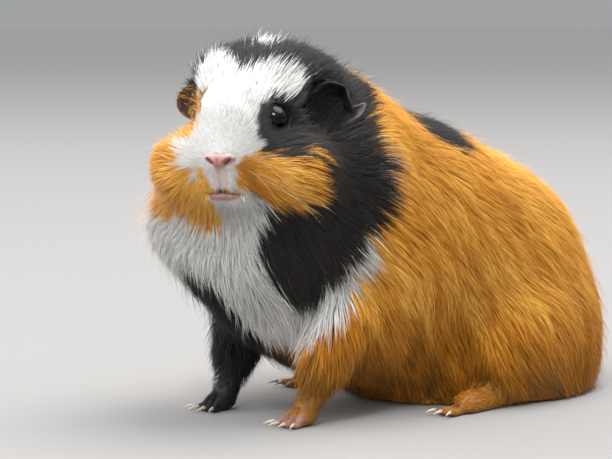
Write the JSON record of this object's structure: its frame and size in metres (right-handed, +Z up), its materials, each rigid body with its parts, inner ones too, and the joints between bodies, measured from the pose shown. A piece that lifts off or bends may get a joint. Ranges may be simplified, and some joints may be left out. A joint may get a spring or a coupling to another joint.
{
  "type": "guinea pig, life-size still model",
  "caption": "Life-size guinea pig in an orange, black and white coat, sitting with its chest propped on straight forelegs and its head raised and turned to its left.",
  "frame": {"origin": "on the ground, under the middle of the whole animal's bounding box", "axes": "+Z up, the animal faces -Y, +X is towards its own left side"},
  "size_m": [0.125, 0.2322, 0.1552],
  "materials": {
    "orange_coat": "satin",
    "white_coat": "satin",
    "black_coat": "satin",
    "bare_nose": "satin",
    "ear_skin": "satin",
    "eye": "gloss",
    "claw": "satin"
  },
  "bodies": {
    "root": {"trunk": "orange_coat", "neck": "white_coat", "head": "white_coat", "lower_jaw": "white_coat", "nose": "bare_nose", "eye_left": "eye", "ear_left": "ear_skin", "foreleg_left": "orange_coat", "forefoot_left": "orange_coat", "hindleg_left": "orange_coat", "hindfoot_left": "orange_coat", "fore_claw_left_1": "claw", "fore_claw_left_2": "claw", "fore_claw_left_3": "claw", "fore_claw_left_4": "claw", "hind_claw_left_1": "claw", "hind_claw_left_2": "claw", "hind_claw_left_3": "claw", "eye_right": "eye", "ear_right": "ear_skin", "foreleg_right": "black_coat", "forefoot_right": "black_coat", "hindleg_right": "orange_coat", "hindfoot_right": "orange_coat", "fore_claw_right_1": "claw", "fore_claw_right_2": "claw", "fore_claw_right_3": "claw", "fore_claw_right_4": "claw", "hind_claw_right_1": "claw", "hind_claw_right_2": "claw", "hind_claw_right_3": "claw"}
  },
  "joints": []
}
